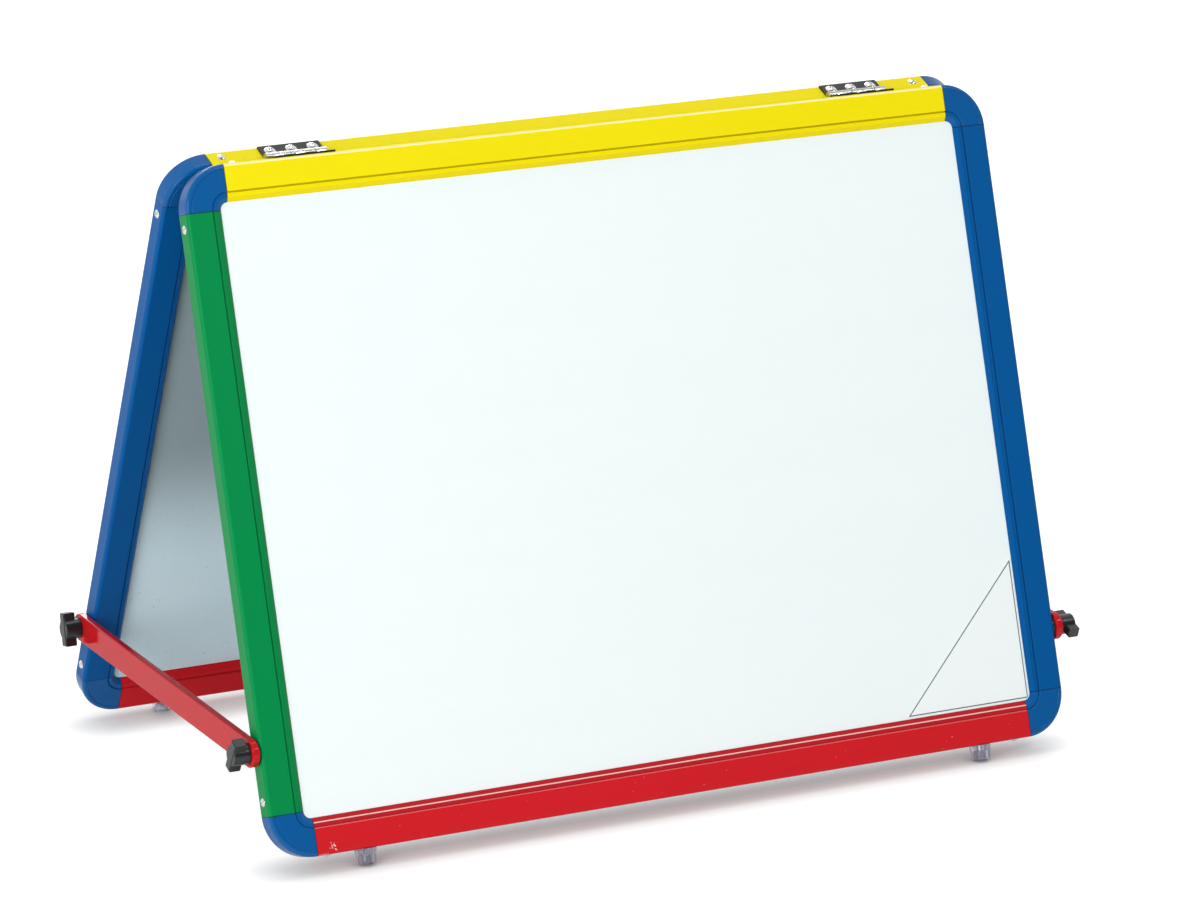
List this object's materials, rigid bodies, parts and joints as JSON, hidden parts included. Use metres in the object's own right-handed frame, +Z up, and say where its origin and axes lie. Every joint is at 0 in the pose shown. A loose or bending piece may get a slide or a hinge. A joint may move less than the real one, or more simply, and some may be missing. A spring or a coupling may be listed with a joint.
{
  "type": "folding magnetic desk whiteboard easel",
  "caption": "Folding A-shaped desk easel: framed magnetic whiteboards hinged along the top, with side stay bars clamped by wing knobs, on small tapered feet.",
  "frame": {"origin": "on the ground below the hinge line, in the middle of the footprint", "axes": "+X across the board to the right as seen from the front, -Y the way the front board faces, +Z up"},
  "size_m": [0.6368, 0.3358, 0.4375],
  "materials": {
    "yellow_coat": "satin coloured powder coat over an extruded profile",
    "red_coat": "satin coloured powder coat over an extruded profile",
    "green_coat": "satin coloured powder coat over an extruded profile",
    "blue_coat": "satin coloured powder coat over an extruded profile",
    "corner_plastic": "moulded, glossy",
    "white_enamel": "glossy white dry-wipe enamel on steel sheet",
    "board_core": "pressed fibreboard",
    "backing_metal": "matt grey coated sheet",
    "label_film": "blank printed film",
    "screw_steel": "zinc plated",
    "foot_rubber": "clear soft plastic",
    "hinge_steel": "zinc plated",
    "insert_steel": "zinc plated",
    "stud_steel": "zinc plated thread",
    "washer_plastic": "moulded",
    "stay_paint": "satin red coat on flat steel bar",
    "knob_plastic": "moulded, fine grain"
  },
  "bodies": {
    "front_panel": {"front_top_rail": "yellow_coat", "front_bottom_rail": "red_coat", "front_left_stile": "green_coat", "front_right_stile": "blue_coat", "front_corner_top_left": "corner_plastic", "front_corner_top_right": "corner_plastic", "front_corner_bottom_left": "corner_plastic", "front_corner_bottom_right": "corner_plastic", "front_writing_sheet": "white_enamel", "front_board_core": "board_core", "front_backing_sheet": "backing_metal", "front_label": "label_film", "front_corner_screws": "screw_steel", "front_left_foot": "foot_rubber", "front_right_foot": "foot_rubber", "front_foot_screws": "screw_steel", "front_left_hinge_leaf": "hinge_steel", "front_right_hinge_leaf": "hinge_steel", "front_hinge_screws": "screw_steel", "left_hinge_pin": "hinge_steel", "right_hinge_pin": "hinge_steel", "front_knob_inserts": "insert_steel", "front_left_washer": "washer_plastic", "front_right_washer": "washer_plastic"},
    "rear_panel": {"rear_top_rail": "yellow_coat", "rear_bottom_rail": "red_coat", "rear_left_stile": "blue_coat", "rear_right_stile": "green_coat", "rear_corner_top_left": "corner_plastic", "rear_corner_top_right": "corner_plastic", "rear_corner_bottom_left": "corner_plastic", "rear_corner_bottom_right": "corner_plastic", "rear_writing_sheet": "white_enamel", "rear_board_core": "board_core", "rear_backing_sheet": "backing_metal", "rear_corner_screws": "screw_steel", "rear_left_foot": "foot_rubber", "rear_right_foot": "foot_rubber", "rear_foot_screws": "screw_steel", "rear_left_hinge_leaf": "hinge_steel", "rear_right_hinge_leaf": "hinge_steel", "rear_hinge_screws": "screw_steel", "rear_knob_inserts": "insert_steel"},
    "left_stay": {"left_stay": "stay_paint", "rear_left_washer": "washer_plastic"},
    "right_stay": {"right_stay": "stay_paint", "rear_right_washer": "washer_plastic"},
    "front_left_knob": {"front_left_knob": "knob_plastic", "front_left_stud": "stud_steel"},
    "front_right_knob": {"front_right_knob": "knob_plastic", "front_right_stud": "stud_steel"},
    "rear_left_knob": {"rear_left_knob": "knob_plastic", "rear_left_stud": "stud_steel"},
    "rear_right_knob": {"rear_right_knob": "knob_plastic", "rear_right_stud": "stud_steel"}
  },
  "joints": [
    {"name": "board_fold", "type": "hinge", "parent": "front_panel", "child": "rear_panel", "pos_m": [0, 0, 0.43389], "axis": [-1, 0, 0], "range_deg": [0, 39.2]},
    {"name": "left_stay_swing", "type": "hinge", "parent": "front_panel", "child": "left_stay", "pos_m": [-0.3, -0.13491, 0.07856], "axis": [1, 0, 0], "range_deg": [0, 70.4]},
    {"name": "right_stay_swing", "type": "hinge", "parent": "front_panel", "child": "right_stay", "pos_m": [0.3, -0.13491, 0.07856], "axis": [1, 0, 0], "range_deg": [0, 70.4]},
    {"name": "front_left_knob_turn", "type": "hinge", "parent": "front_panel", "child": "front_left_knob", "pos_m": [-0.3, -0.13491, 0.07856], "axis": [-1, 0, 0], "continuous": true},
    {"name": "front_right_knob_turn", "type": "hinge", "parent": "front_panel", "child": "front_right_knob", "pos_m": [0.3, -0.13491, 0.07856], "axis": [1, 0, 0], "continuous": true},
    {"name": "rear_left_knob_turn", "type": "hinge", "parent": "left_stay", "child": "rear_left_knob", "pos_m": [-0.3, 0.13491, 0.07856], "axis": [-1, 0, 0], "continuous": true},
    {"name": "rear_right_knob_turn", "type": "hinge", "parent": "right_stay", "child": "rear_right_knob", "pos_m": [0.3, 0.13491, 0.07856], "axis": [1, 0, 0], "continuous": true}
  ]
}
